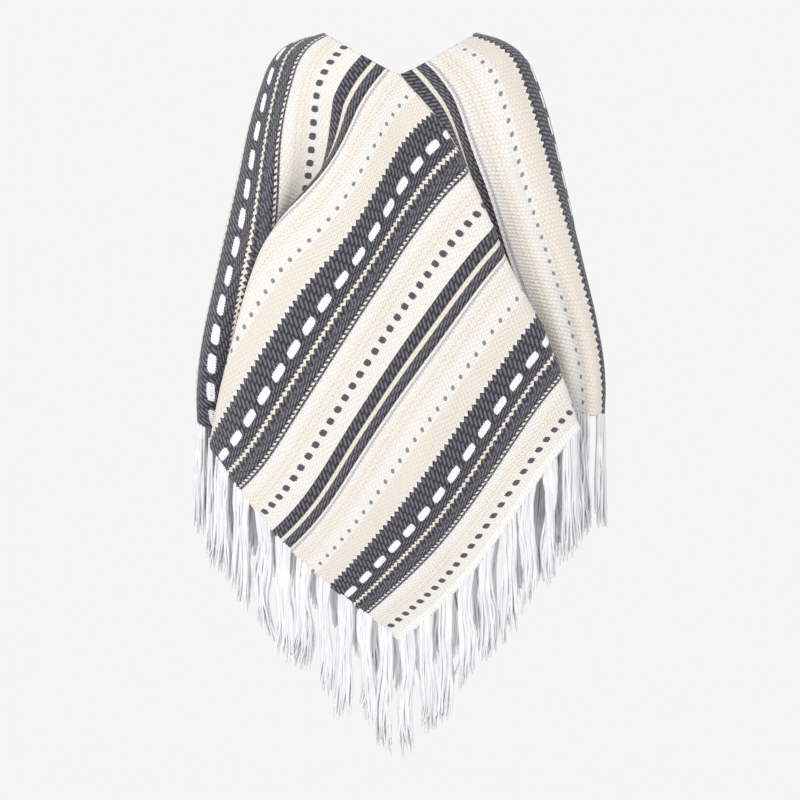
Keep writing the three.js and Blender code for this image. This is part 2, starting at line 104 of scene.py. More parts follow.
# The deep fold in front of and behind each arm: its offset, the cloth in it and its turn inwards
SEAM_FOLD_ROWS = table(
    "s offset length turn",
    (0, 40, 100, 40),
    (100, 40, 110, 40),
    (200, 30, 120, 45),
    (300, 26, 158, 55),
    (420, 24, 192, 60),
    (540, 12, 222, 62),
    (790, 10, 335, 62),
)
PLAIN_FOLD_ROWS = table(
    "s offset length turn",
    (0, 50, 100, 40),
    (100, 66, 102, 42),
    (200, 82, 120, 52),
    (300, 84, 168, 57),
    (420, 82, 234, 60),
    (540, 76, 298, 62),
    (790, 76, 458, 62),
)
FOLD_SOFTNESS = 30
SEAM_FOLD_STARTS = 20
SEAM_FOLD_FULL = 190
PLAIN_FOLD_STARTS = 80
PLAIN_FOLD_FULL = 310
FOLD_STEPS = 96
WIDEST_SWING = 2.4
SWING_HALVINGS = 32
MOST_TAKEN_UP = 0.98


def curve(rows, name, s):
    """A smooth curve through one column of a table"""
    x = rows["s"]
    y = rows[name]
    gaps = np.diff(x)
    steps = np.diff(y) / gaps
    slopes = np.empty(len(x))
    slopes[0] = steps[0]
    slopes[-1] = steps[-1]
    slopes[1:-1] = (steps[:-1] * gaps[1:] + steps[1:] * gaps[:-1]) / (gaps[:-1] + gaps[1:])
    s = np.clip(s, x[0], x[-1])
    i = np.clip(np.searchsorted(x, s, side="right") - 1, 0, len(x) - 2)
    t = (s - x[i]) / gaps[i]
    near = (2 * t**3 - 3 * t**2 + 1) * y[i] + (t**3 - 2 * t**2 + t) * gaps[i] * slopes[i]
    far = (3 * t**2 - 2 * t**3) * y[i + 1] + (t**3 - t**2) * gaps[i] * slopes[i + 1]
    return near + far


def smooth_step(low, high, x):
    t = np.clip((x - low) / (high - low), 0, 1)
    return t * t * (3 - 2 * t)


def fold_curve(share):
    """A bent strip of length 1 that takes up a share of its cloth: its heading swings as a sine"""
    sine = np.sin(2 * np.pi * (np.arange(FOLD_STEPS) + 0.5) / FOLD_STEPS)
    low = 0.0
    high = WIDEST_SWING
    for _ in range(SWING_HALVINGS):
        swing = (low + high) / 2
        if 1 - np.mean(np.cos(swing * sine)) < share:
            low = swing
        else:
            high = swing
    along = np.concatenate([[0], np.cumsum(np.cos(swing * sine))]) / FOLD_STEPS
    inward = np.concatenate([[0], np.cumsum(np.sin(swing * sine))]) / FOLD_STEPS
    return along, inward


def cloth_across(s):
    return curve(RING_ROWS, "narrow", s) * np.pi * s / 4


def cloth_length(seam, half, s):
    """Length of cloth in one quarter of a ring"""
    u = curve(SIDE_ROWS, "u_back" if (half == "front") == seam else "u_front", s)
    return cloth_across(s) + (u if seam else NECK_EDGE - u)


RING_STEP = 4
RING_POINTS = 400
OVAL_STEPS = 1200


def quarter_rings(seam, half):
    """Points of a quarter of the poncho, a row for each ring, from its middle to its side"""
    rings = []
    starts = SEAM_FOLD_STARTS if seam else PLAIN_FOLD_STARTS
    full = SEAM_FOLD_FULL if seam else PLAIN_FOLD_FULL
    for s in np.arange(0, CORNER_REACH + RING_STEP, RING_STEP):
        angle = np.linspace(0, np.pi / 2, OVAL_STEPS + 1)
        power = 2 / curve(RING_ROWS, "roundness", s)
        x = curve(SIDE_ROWS, "x", s) * np.sin(angle) ** power
        y = abs(curve(MIDDLE_ROWS, half + "_y", s)) * np.abs(np.cos(angle)) ** power
        path = np.concatenate([[0], np.cumsum(np.hypot(np.diff(x), np.diff(y)))])
        oval = path[-1]
        cloth = cloth_length(seam, half, s)
        spare = cloth - oval
        excess = (spare + np.hypot(spare, FOLD_SOFTNESS)) / 2
        excess = excess * smooth_step(starts, full, s)
        stretch = (oval + excess) / cloth
        fold = SEAM_FOLD_ROWS if seam else PLAIN_FOLD_ROWS
        length = curve(fold, "length", s)
        start = (cloth_across(s) + curve(fold, "offset", s)) * stretch - length / 2
        along, inward = fold_curve(min(excess / length, MOST_TAKEN_UP))
        c = np.linspace(0, cloth, RING_POINTS + 1) * stretch
        place = np.clip((c - start) / length, 0, 1) * FOLD_STEPS
        t = c - length * (place / FOLD_STEPS - np.interp(place, np.arange(FOLD_STEPS + 1), along))
        depth = length * np.interp(place, np.arange(FOLD_STEPS + 1), inward)
        share = np.clip(t / oval, 0, 1)
        end = curve(RING_ROWS, "end_seam", s) if seam else 1
        rise_power = curve(RING_ROWS, "rise_seam" if seam else "rise_plain", s)
        rise_power = rise_power * (BACK_RISE if half == "back" else 1)
        rise = np.sin(np.minimum(share / end, 1) * np.pi / 2) ** rise_power
        low = curve(MIDDLE_ROWS, half + "_z", s)
        high = curve(SIDE_ROWS, "z", s)
        turn = math.radians(curve(fold, "turn", s))
        rings.append(np.column_stack([
            np.interp(share * oval, path, x) - math.sin(turn) * depth,
            -np.interp(share * oval, path, y) + math.cos(turn) * depth,
            low + (high - low) * rise,
        ]))
    return np.array(rings)


QUARTERS = {
    (seam, half): quarter_rings(seam, half)
    for seam in (True, False)
    for half in ("front", "back")
}


def quarter_point(seam, half, s, c):
    """Places on a quarter, by distance from the neckline and length of cloth from its middle"""
    rings = QUARTERS[seam, half]
    down = np.clip(s / RING_STEP, 0, len(rings) - 1.001)
    i = down.astype(int)
    a = (down - i)[:, None]
    across = np.clip(c / cloth_length(seam, half, s), 0, 1) * RING_POINTS
    j = np.minimum(across.astype(int), RING_POINTS - 1)
    b = (across - j)[:, None]
    upper = rings[i, j] * (1 - b) + rings[i, j + 1] * b
    lower = rings[i + 1, j] * (1 - b) + rings[i + 1, j + 1] * b
    return upper * (1 - a) + lower * a


MIRROR_X = np.array([-1, 1, 1])
HALF_TURN = np.array([-1, -1, 1])


def draped(panel, u, v):
    """Middle of the cloth: u runs from the panel's sewn end, v from its neckline edge. The back
    panel is the front one turned half round, with its own sizes."""
    other = "back" if panel == "front" else "front"
    beyond = u - NECK_EDGE
    s = np.where(beyond > 0, np.hypot(beyond, v), v)
    across = cloth_across(s)
    turned = np.arctan2(np.maximum(beyond, 0), np.maximum(v, 1e-9)) / (np.pi / 4)
    side = curve(SIDE_ROWS, "u_front" if panel == "front" else "u_back", s)
    points = np.zeros((len(u), 3))
    for chosen, seam, half, c, flip in (
        ((beyond > 0) & (turned >= 1), True, panel, across * (turned - 1), (1, 1, 1)),
        ((beyond > 0) & (turned < 1), False, panel, across * (1 - turned), MIRROR_X),
        ((beyond <= 0) & (u >= side), False, panel, across + NECK_EDGE - u, MIRROR_X),
        ((beyond <= 0) & (u < side), True, other, across + u, HALF_TURN),
    ):
        points[chosen] = quarter_point(seam, half, s[chosen], c[chosen]) * flip
    return points if panel == "front" else points * HALF_TURN


PROBE = 3


def outward(panel, u, v):
    """Outward direction of the cloth, from small steps on the panel"""
    along = draped(panel, u + PROBE, v) - draped(panel, np.maximum(u - PROBE, 0), v)
    across = draped(panel, u, v + PROBE) - draped(panel, u, np.maximum(v - PROBE, 0))
    out = np.cross(across, along)
    return out / np.linalg.norm(out, axis=1)[:, None]


# Softer troughs and ridges, as lines on the flat panel with a half width and a height outwards.
# The front ones follow the photo and the back ones are like them but not the same.
CREASES = {
    "front": table(
        "u1 v1 u2 v2 width height",
        (84, 150, 96, 560, 20, -10),
        (470, 60, 640, 330, 42, -5),
        (640, 190, 860, 470, 46, 6),
        (560, 330, 700, 560, 34, -6),
        (430, 110, 560, 260, 22, 2.5),
        (700, 60, 880, 210, 26, -2.5),
        (760, 300, 900, 420, 24, -3),
        (250, 180, 300, 520, 18, 2.5),
    ),
    "back": table(
        "u1 v1 u2 v2 width height",
        (88, 110, 92, 560, 17, -13),
        (480, 90, 700, 300, 44, -6),
        (600, 260, 880, 500, 48, 7),
        (500, 300, 640, 560, 36, -6),
        (450, 60, 600, 190, 24, 2.5),
        (720, 120, 890, 260, 24, -3),
        (260, 160, 310, 520, 20, 3),
        (130, 220, 150, 540, 12, 3),
    ),
}
CREASE_MARGIN = 40
# A crease rises over the first of these shares of its line and dies out over the second
CREASE_RISES = (-0.15, 0.3)
CREASE_DIES = (0.8, 1.15)
UNEVENNESS = 0.5


def crease_height(panel, u, v):
    """Height of the creases and of the knit's own slight unevenness, fading out at sewn edges"""
    ripple_along = np.sin(u / 23 + 1.3 * np.sin(v / 61))
    ripple_across = np.sin(v / 29 + 1.1 * np.sin(u / 47))
    height = UNEVENNESS * ripple_along * ripple_across
    for row in CREASES[panel]:
        du = row["u2"] - row["u1"]
        dv = row["v2"] - row["v1"]
        reach = math.hypot(du, dv)
        t = ((u - row["u1"]) * du + (v - row["v1"]) * dv) / reach**2
        off = ((u - row["u1"]) * dv - (v - row["v1"]) * du) / reach
        ends = smooth_step(*CREASE_RISES, t) * (1 - smooth_step(*CREASE_DIES, t))
        height = height + row["height"] * ends * np.exp(-((off / row["width"]) ** 2))
    near_end = smooth_step(0, CREASE_MARGIN, u)
    near_edge = np.where(u >= NECK_EDGE, smooth_step(0, CREASE_MARGIN, v), 1)
    return height * near_end * near_edge


# Stripes, in order from the sewn end towards the hem: width in mm, colour, and relief in mm.
# The set repeats up the panel, and its last copy starts this far from the hem.
HEM_TO_FIRST_STRIPE = 166
STRIPES = (
    ("wide_dark", 27, "charcoal", 1.4),
    ("oval_row", 10, "charcoal", 0.4),
    ("mottled", 14, "charcoal", 0.2),
    ("dashes_above_cream", 2, "dashes", 0),
    ("cream", 6, "cream", -0.3),
    ("two_tone", 8, "charcoal", 1.2),
    ("two_tone_braid", 8, "grey", 1.2),
    ("two_tone_edge", 4, "black", 1.0),
    ("dashes_below", 3, "dashes", 0.4),
    ("thin_grey", 3, "grey", 0),
    ("plain", 15, "white", 0),
    ("beige", 23, "beige", 0.3),
    ("large_dots", 17, "white", 0),
    ("plain_below_dots", 20, "white", 0),
    ("pair_upper", 17, "charcoal", 1.2),
    ("pair_cream", 8, "cream", -0.2),
    ("pair_braid", 9, "grey", 1.0),
    ("pair_edge", 5, "black", 1.0),
    ("pair_white", 3, "white", 0),
    ("pair_thin_grey", 3, "pale_grey", 0),
    ("plain_below_pair", 8, "white", 0),
    ("second_beige", 22, "beige", 0.3),
    ("plain_above_fine_dots", 14, "white", 0),
    ("fine_dots", 11, "white", 0),
    ("tan", 30, "tan", 0.4),
    ("plain_above_dark", 8, "white", 0),
)
REPEAT = sum(width for _, width, _, _ in STRIPES)
FIRST_STRIPE = (PANEL_LENGTH - HEM_TO_FIRST_STRIPE) % REPEAT
STRIPE_SHOULDER = 1.2


def stripe_start(name):
    """Distance from the start of the repeat to a stripe"""
    start = 0
    for row_name, width, _, _ in STRIPES:
        if row_name == name:
            return start
        start += width
    raise KeyError(name)


def stripe_relief(u):
    """Height of the stripes over the plain ground, with soft shoulders"""
    w = (u - FIRST_STRIPE) % REPEAT
    height = np.zeros(len(u))
    start = 0
    for _, width, _, relief in STRIPES:
        from_edge = np.minimum(w - start, start + width - w)
        height += relief * smooth_step(-STRIPE_SHOULDER, STRIPE_SHOULDER, from_edge)
        start += width
    return height


# Each panel is a fine grid laid out flat, draped, then given the cloth's thickness
LINES_ALONG = 300
LINES_ACROSS = 120
CLOTH_THICKNESS = 3.0
MM = 0.001


def link(name, data):
    made = bpy.data.objects.new(name, data)
    bpy.context.scene.collection.objects.link(made)
    return made


def panel_piece(name, panel):
    flat = bmesh.new()
    flat.loops.layers.uv.new("panel")
    bmesh.ops.create_grid(
        flat, x_segments=LINES_ALONG, y_segments=LINES_ACROSS, size=0.5, calc_uvs=True
    )
    bmesh.ops.reverse_faces(flat, faces=flat.faces)
    mesh = bpy.data.meshes.new(name)
    flat.to_mesh(mesh)
    flat.free()
    co = np.empty(len(mesh.vertices) * 3)
    mesh.vertices.foreach_get("co", co)
    co = co.reshape(-1, 3)
    u = (co[:, 0] + 0.5) * PANEL_LENGTH
    v = (co[:, 1] + 0.5) * PANEL_WIDTH
    height = crease_height(panel, u, v) + stripe_relief(u)
    points = draped(panel, u, v) + outward(panel, u, v) * height[:, None]
    mesh.vertices.foreach_set("co", (points * MM).ravel())
    mesh.shade_smooth()
    piece = link(name, mesh)
    thickness = piece.modifiers.new("thickness", "SOLIDIFY")
    thickness.thickness = CLOTH_THICKNESS * MM
    thickness.offset = 0
    return piece


front = panel_piece("knit_panel_front", "front")
back = panel_piece("knit_panel_back", "back")


def linear(colour):
    """sRGB hex to the linear values that a shader takes"""
    values = [int(colour[i : i + 2], 16) / 255 for i in (1, 3, 5)]
    return tuple(v / 12.92 if v <= 0.04045 else ((v + 0.055) / 1.055) ** 2.4 for v in values) + (1,)


# Yarn colours of the stripes, then painted shade and painted highlight for the knitted loops, and
# the colours of the marks drawn over them
YARNS = {
    "charcoal": "#55545d",
    "black": "#2c2b31",
    "grey": "#85848e",
    "pale_grey": "#b3b2b8",
    "cream": "#e7dfd3",
    "white": "#eceae7",
    "beige": "#e9e4dc",
    "tan": "#e4dcd1",
    "dashes": "#e9e6e0",
    # Painted shade in the gaps between loops and painted highlight on the loop tops of the dark
    # stripes
    "painted_shade_between_charcoal_loops": "#0d0d11",
    "painted_highlight_on_loop_tops": "#696874",
    # Painted shade in the gaps between the small loops of the pale ground
    "painted_shade_between_pale_loops": "#c4bbb0",
    "fleck": "#d6c8ba",
    "beige_dots": "#c5b09a",
    "dash": "#3a3940",
    "tick": "#7c7b83",
    "oval": "#f4f3f6",
    "large_dot": "#4d4c50",
    "fine_dot": "#66666c",
}


def add_node(tree, kind, inputs, output=0, **settings):
    """Adds a node with its settings, and sets or links its inputs"""
    made = tree.nodes.new(kind)
    for name, value in settings.items():
        setattr(made, name, value)
    for socket, value in inputs.items():
        if isinstance(value, bpy.types.NodeSocket):
            tree.links.new(value, made.inputs[socket])
        else:
            made.inputs[socket].default_value = value
    return made.outputs[output]


def maths(tree, operation, *values):
    return add_node(tree, "ShaderNodeMath", dict(enumerate(values)), operation=operation)


def between(tree, value, low, high):
    """Goes smoothly from 0 at low to 1 at high"""
    return add_node(
        tree, "ShaderNodeMapRange", {0: value, 1: low, 2: high}, interpolation_type="SMOOTHSTEP"
    )


def blend(tree, factor, first, second):
    return add_node(
        tree, "ShaderNodeMix", {0: factor, 6: first, 7: second}, output=2, data_type="RGBA"
    )


def stripe_ramp(tree, w, rows):
    """Steps along the repeat: rows give the width of each step and its colour"""
    made = tree.nodes.new("ShaderNodeValToRGB")
    made.color_ramp.interpolation = "CONSTANT"
    tree.links.new(maths(tree, "DIVIDE", w, REPEAT), made.inputs[0])
    start = 0
    for k, (width, colour) in enumerate(rows):
        if k == 0:
            stop = made.color_ramp.elements[0]
        elif k == 1:
            stop = made.color_ramp.elements[1]
            stop.position = start / REPEAT
        else:
            stop = made.color_ramp.elements.new(start / REPEAT)
        stop.color = colour
        start += width
    return made.outputs[0]


def spots(tree, w, v, centre, half_w, half_v, pitch, power):
    """A row of spots along a stripe, 1 inside and 0 outside"""
    across = maths(tree, "ABSOLUTE", maths(tree, "SUBTRACT", w, centre))
    along = maths(tree, "PINGPONG", v, pitch / 2)
    a = maths(tree, "POWER", maths(tree, "DIVIDE", across, half_w), power)
    b = maths(tree, "POWER", maths(tree, "DIVIDE", along, half_v), power)
    return maths(tree, "SUBTRACT", 1, between(tree, maths(tree, "ADD", a, b), 0.75, 1.25))


def loops(tree, w, v, wide, long, shear):
    """Knitted loops: long cells in staggered rows, 1 along the middle of a loop, 0 between"""
    a = maths(tree, "ADD", maths(tree, "DIVIDE", v, wide), maths(tree, "MULTIPLY", w, shear))
    odd = maths(tree, "MULTIPLY", maths(tree, "FLOORED_MODULO", maths(tree, "FLOOR", a), 2), 0.5)
    b = maths(tree, "ADD", maths(tree, "DIVIDE", w, long), odd)
    across = maths(tree, "MULTIPLY", maths(tree, "PINGPONG", a, 0.5), 2)
    along = maths(tree, "MULTIPLY", maths(tree, "PINGPONG", b, 0.5), 2)
    return maths(tree, "MULTIPLY", between(tree, across, 0.2, 0.75), between(tree, along, 0.0, 0.4))


# Sizes of the knit's pattern in millimetres: w runs across a stripe and v along it, and an edge
# is rounder with power 2 and squarer with a higher one
TOOTH_PITCH = 9
TOOTH_LENGTH = 6.5
TEETH_ABOVE_DARK = 7
TEETH_INTO_DARK = 8
TEETH_ROUND_CREAM = 12
LONG_LOOP = {"wide": 6.2, "long": 14, "shear": -0.065}
BRAID_LOOP = {"wide": 4.4, "long": 10, "shear": -0.09}
SMALL_LOOP = {"wide": 5.8, "long": 5.4, "shear": -0.05}
OVALS = {"half_w": 5.8, "half_v": 11.5, "pitch": 35, "power": 4}
OVALS_MIDDLE = 5.5
LARGE_DOTS = {"half_w": 5.4, "half_v": 4.4, "pitch": 17.4, "power": 3}
LARGE_DOTS_MIDDLE = 9.5
FINE_DOTS = {"half_w": 3.4, "half_v": 2.8, "pitch": 17.4, "power": 2}
FINE_DOTS_MIDDLE = 5
BEIGE_DOTS = {"half_w": 0.9, "half_v": 2.0, "pitch": 5.6, "power": 2}
BEIGE_WIDTH = 22
BEIGE_LINES = (0.3, 0.7)
DASHES = {"half_v": 1.7, "pitch": 7.0, "power": 3}
DASH_OVERLAP = 0.4
DASH_SLANT = 0.9
TICKS = {"half_w": 2.2, "half_v": 0.8, "pitch": 4.4, "power": 2}
TICKS_MIDDLE = 1
RAGGED_EDGE = 1.6
DOT_LEAN = 0.35
ROW_WANDER = 2.0
HEM_BORDER = 15
HEM_BORDER_EDGE = 2
LOOP_HEIGHT = 2.0
PALE_LOOP_SHARE = 0.55
# How strongly each mark, and the painted shade and painted highlight of the loops, lies over
# the stripe's own colour
LOOP_HIGHLIGHT_AND_SHADE_COVER = 0.85
PALE_LOOP_SHADE_COVER = 0.38
FLECK_COVER = 0.5
BEIGE_DOT_COVER = 0.5
TICK_COVERS = {"plain": 0.5, "plain_below_pair": 0.4}
FINE_DOT_COVER = 0.85
TOOTH_SHARE_AT_CREAM = 0.75
# Flecks a few millimetres long, stretched a little along the knitted rows
FLECK_STRETCH = (900, 420, 1)
FLECK_SCALE = 0.42
BRAIDED = ("mottled", "two_tone_braid", "two_tone_edge", "pair_braid", "pair_edge")


# Knit: matt cotton or acrylic yarn in jacquard stripes, drawn on the panel's own flat map in
# millimetres. The loops stand up in the bump map, and the colour adds painted shade in the gaps
# between them and a painted highlight on the loop tops of the dark stripes. Loose fibres give a
# faint sheen.
def knit_material():
    material = bpy.data.materials.new("jacquard_knit")
    material.use_nodes = True
    tree = material.node_tree
    shader = tree.nodes["Principled BSDF"]
    place = add_node(tree, "ShaderNodeUVMap", {}, uv_map="panel")
    split = tree.nodes.new("ShaderNodeSeparateXYZ")
    tree.links.new(place, split.inputs[0])
    u = maths(tree, "MULTIPLY", split.outputs[0], PANEL_LENGTH)
    v = maths(tree, "MULTIPLY", split.outputs[1], PANEL_WIDTH)
    wander = add_node(
        tree, "ShaderNodeTexNoise", {"Vector": place, "Scale": 26.0, "Detail": 2.0}
    )
    v = maths(tree, "ADD", v, maths(tree, "MULTIPLY", wander, ROW_WANDER))
    w = maths(tree, "WRAP", maths(tree, "SUBTRACT", u, FIRST_STRIPE), REPEAT, 0)

    # Saw teeth on the upper edges of the wide dark and of the two-tone stripe
    cream = stripe_start("cream")
    plain_rest = REPEAT - cream - 1 - TEETH_ROUND_CREAM - TEETH_ABOVE_DARK
    teeth = stripe_ramp(tree, w, (
        (TEETH_INTO_DARK, (1, 1, 1, 1)),
        (cream + 1 - TEETH_INTO_DARK, (0, 0, 0, 1)),
        (TEETH_ROUND_CREAM, (*[TOOTH_SHARE_AT_CREAM] * 3, 1)),
        (plain_rest, (0, 0, 0, 1)),
        (TEETH_ABOVE_DARK, (1, 1, 1, 1)),
    ))
    tooth = maths(tree, "PINGPONG", v, TOOTH_PITCH / 2)
    tooth = maths(tree, "DIVIDE", tooth, TOOTH_PITCH / 2)
    shift = maths(tree, "MULTIPLY", maths(tree, "MULTIPLY", tooth, teeth), TOOTH_LENGTH)
    toothed = maths(tree, "WRAP", maths(tree, "ADD", w, shift), REPEAT, 0)
    colour = stripe_ramp(tree, toothed, [(row[1], linear(YARNS[row[2]])) for row in STRIPES])
    dark = stripe_ramp(tree, toothed, [
        (row[1], (1, 1, 1, 1) if row[2] in ("charcoal", "black", "grey") else (0, 0, 0, 1))
        for row in STRIPES
    ])
    braid = stripe_ramp(tree, toothed, [
        (row[1], (1, 1, 1, 1) if row[0] in BRAIDED else (0, 0, 0, 1)) for row in STRIPES
    ])

    # Loops: long ones in the dark stripes, short slanting ones in the braids, small ones elsewhere
    long_loops = loops(tree, w, v, **LONG_LOOP)
    short_loops = loops(tree, v, w, **BRAID_LOOP)
    small_loops = loops(tree, w, v, **SMALL_LOOP)
    dark_stripe_loops = blend(tree, braid, long_loops, short_loops)
    # Painted highlight on the loop tops and painted shade in the gaps between them, over the dark
    # stripes
    painted_loop_highlight_and_shade = blend(tree, dark_stripe_loops, linear(YARNS["painted_shade_between_charcoal_loops"]), linear(YARNS["painted_highlight_on_loop_tops"]))
    colour = blend(tree, maths(tree, "MULTIPLY", dark, LOOP_HIGHLIGHT_AND_SHADE_COVER), colour, painted_loop_highlight_and_shade)
    # Painted shade in the gaps between the small loops of the pale ground
    pale_ground_painted_shade = maths(tree, "SUBTRACT", 1, small_loops)
    pale_ground_painted_shade = maths(tree, "MULTIPLY", pale_ground_painted_shade, PALE_LOOP_SHADE_COVER)
    pale_ground_painted_shade = maths(tree, "MULTIPLY", pale_ground_painted_shade, maths(tree, "SUBTRACT", 1, dark))
    colour = blend(tree, pale_ground_painted_shade, colour, linear(YARNS["painted_shade_between_pale_loops"]))

    # Flecks of darker fibre in the beige and white ground
    fleck_place = add_node(
        tree, "ShaderNodeVectorMath", {0: place, 1: FLECK_STRETCH}, operation="MULTIPLY"
    )
    fleck = add_node(
        tree, "ShaderNodeTexNoise", {"Vector": fleck_place, "Scale": FLECK_SCALE, "Detail": 3.0}
    )
    fleck = maths(tree, "MULTIPLY", between(tree, fleck, 0.5, 0.66), FLECK_COVER)
    fleck = maths(tree, "MULTIPLY", fleck, maths(tree, "SUBTRACT", 1, dark))
    colour = blend(tree, fleck, colour, linear(YARNS["fleck"]))

    # Fine dotted lines in the beige stripes
    for name in ("beige", "second_beige"):
        for share in BEIGE_LINES:
            middle = stripe_start(name) + BEIGE_WIDTH * share
            dots = maths(tree, "MULTIPLY", spots(tree, w, v, middle, **BEIGE_DOTS), BEIGE_DOT_COVER)
            colour = blend(tree, dots, colour, linear(YARNS["beige_dots"]))

    # Dashed lines either side of the cream and two-tone stripes, and grey ticks below the darks
    for name, width in (("dashes_above_cream", 2), ("dashes_below", 3)):
        slanted = maths(tree, "ADD", v, maths(tree, "MULTIPLY", w, DASH_SLANT))
        middle = stripe_start(name) + width / 2
        dash = spots(tree, w, slanted, middle, width / 2 + DASH_OVERLAP, **DASHES)
        colour = blend(tree, dash, colour, linear(YARNS["dash"]))
    for name, cover in TICK_COVERS.items():
        ticks = spots(tree, w, v, stripe_start(name) + TICKS_MIDDLE, **TICKS)
        colour = blend(tree, maths(tree, "MULTIPLY", ticks, cover), colour, linear(YARNS["tick"]))

    # White ovals on the dark, and the rows of large and of fine dots on white
    ragged = maths(tree, "ADD", w, maths(tree, "PINGPONG", v, RAGGED_EDGE))
    ovals = spots(tree, ragged, v, stripe_start("oval_row") + OVALS_MIDDLE, **OVALS)
    colour = blend(tree, ovals, colour, linear(YARNS["oval"]))
    leaning = maths(tree, "ADD", v, maths(tree, "MULTIPLY", w, DOT_LEAN))
    middle = stripe_start("large_dots") + LARGE_DOTS_MIDDLE
    large = spots(tree, ragged, leaning, middle, **LARGE_DOTS)
    colour = blend(tree, large, colour, linear(YARNS["large_dot"]))
    fine = spots(tree, w, v, stripe_start("fine_dots") + FINE_DOTS_MIDDLE, **FINE_DOTS)
    fine = maths(tree, "MULTIPLY", fine, FINE_DOT_COVER)
    colour = blend(tree, fine, colour, linear(YARNS["fine_dot"]))

    # White knitted border at the hem, which carries the fringe
    border_start = PANEL_LENGTH - HEM_BORDER
    border = between(tree, u, border_start, border_start + HEM_BORDER_EDGE)
    colour = blend(tree, border, colour, linear(YARNS["white"]))
    tree.links.new(colour, shader.inputs["Base Color"])

    height = blend(tree, dark, maths(tree, "MULTIPLY", small_loops, PALE_LOOP_SHARE), dark_stripe_loops)
    bump = add_node(
        tree, "ShaderNodeBump", {"Height": height, "Strength": 1.0, "Distance": LOOP_HEIGHT * MM}
    )
    tree.links.new(bump, shader.inputs["Normal"])
    shader.inputs["Roughness"].default_value = 0.92
    shader.inputs["Specular IOR Level"].default_value = 0.2
    shader.inputs["Sheen Weight"].default_value = 0.25
    shader.inputs["Sheen Roughness"].default_value = 0.6
    return material


def dress(piece, material, node):
    """Gives a finished piece its material and its place in the frame"""
    piece.data.materials.append(material)
    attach(piece, "root")
    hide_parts(node)


knit = knit_material()
dress(front, knit, "panel_front")
dress(back, knit, "panel_back")


# Fringe: bundles of soft, loosely spun white yarn, cut to about one length and fixed side by
# side along the free long edge and the free short end of each panel. They hang straight down,
# and each yarn waves a little and thins at its cut end.
TASSELS = 29
YARNS_PER_TASSEL = 34
YARN_RADIUS = 2.3
YARN_STEPS = 11
TASSEL_LENGTH = 166
ROOT_SPREAD = 16
TIP_SPREAD = 19
TASSEL_DEPTH = 7
PINCH = 3
HEM_STEP = 2
TASSEL_SWAY = 7
TASSEL_BEND = 4
TASSEL_LENGTH_SHARES = (0.92, 1.06)
TASSEL_SPREAD_SHARES = (0.8, 1.2)
YARN_LENGTH_SHARES = (0.84, 1.03)
YARN_WAVE = (0.6, 2.6)
YARN_WAVES = (1.0, 2.4)
ROOT_ABOVE_HEM = 3
TIP_TAPER = 0.6
TAPER_STARTS = 0.7
STRAIGHT_ROOT = 0.25
ROOT_DEPTH_SHARE = 0.3


def hem_place(distance):
    """Place on the flat panel, by distance round its free edges from the sewn end"""
    if distance < PANEL_LENGTH:
        return distance, PANEL_WIDTH
    return PANEL_LENGTH, PANEL_WIDTH + PANEL_LENGTH - distance


def hem_path(panel, distances):
    """Points on the free edges and the outward direction there"""
    u, v = np.array([hem_place(distance) for distance in distances], float).T
    out = outward(panel, u, v)
    return draped(panel, u, v) + out * crease_height(panel, u, v)[:, None], out * (1, 1, 0)


def fringe_piece(name, panel, seed):
    dice = random.Random(seed)
    strands = bpy.data.curves.new(name, "CURVE")
    strands.dimensions = "3D"
    strands.bevel_depth = YARN_RADIUS * MM
    strands.bevel_resolution = 0
    strands.use_fill_caps = True
    # Places on the hem at even steps, for the roots to be picked from
    total = PANEL_LENGTH + PANEL_WIDTH
    stations = np.arange(0, total + HEM_STEP, HEM_STEP)
    points, outs = hem_path(panel, np.clip(stations, 1, total - 1))
    pitch = (total - 2 * ROOT_SPREAD) / TASSELS
    for i in range(TASSELS):
        middle = ROOT_SPREAD + (i + 0.5) * pitch
        k = int(middle / HEM_STEP)
        run = (points[k + 2] - points[k - 2]) * (1, 1, 0)
        run = run / max(np.linalg.norm(run), 1e-6)
        out = outs[k]
        sway = dice.uniform(-TASSEL_SWAY, TASSEL_SWAY)
        bend = dice.uniform(-TASSEL_BEND, TASSEL_BEND)
        tassel_length = TASSEL_LENGTH * dice.uniform(*TASSEL_LENGTH_SHARES)
        tassel_spread = TIP_SPREAD * dice.uniform(*TASSEL_SPREAD_SHARES)
        for _ in range(YARNS_PER_TASSEL):
            side = dice.uniform(-1, 1)
            depth = dice.uniform(-1, 1)
            place = int(round((middle + side * ROOT_SPREAD) / HEM_STEP))
            root = points[min(max(place, 0), len(points) - 1)]
            length = tassel_length * dice.uniform(*YARN_LENGTH_SHARES)
            phase = dice.uniform(0, 2 * math.pi)
            wave = dice.uniform(*YARN_WAVE)
            waves = dice.uniform(*YARN_WAVES)
            spline = strands.splines.new("POLY")
            spline.points.add(YARN_STEPS - 1)
            for n in range(YARN_STEPS):
                t = n / (YARN_STEPS - 1)
                pinch = PINCH * math.sin(math.pi * t)
                spread = side * ((tassel_spread - ROOT_SPREAD) * t - pinch)
                ripple = wave * math.sin(phase + 2 * math.pi * waves * t)
                ripple = ripple * smooth_step(0, STRAIGHT_ROOT, t)
                drift = sway * t * t + bend * math.sin(2 * math.pi * t)
                point = root + run * (spread + ripple + drift)
                opening = ROOT_DEPTH_SHARE + (1 - ROOT_DEPTH_SHARE) * t
                point = point + out * depth * TASSEL_DEPTH * opening
                point[2] = root[2] + ROOT_ABOVE_HEM - t * length
                spline.points[n].co = (*(point * MM), 1)
                spline.points[n].radius = 1 - TIP_TAPER * smooth_step(TAPER_STARTS, 1, t)
    return link(name, strands)


front_fringe = fringe_piece("yarn_fringe_front", "front", seed=11)
back_fringe = fringe_piece("yarn_fringe_back", "back", seed=23)


FIBRE_STRETCH = (260, 260, 22)
FIBRE_SHADE = "#d9d9dc"
FIBRE_LIGHT = "#ececee"


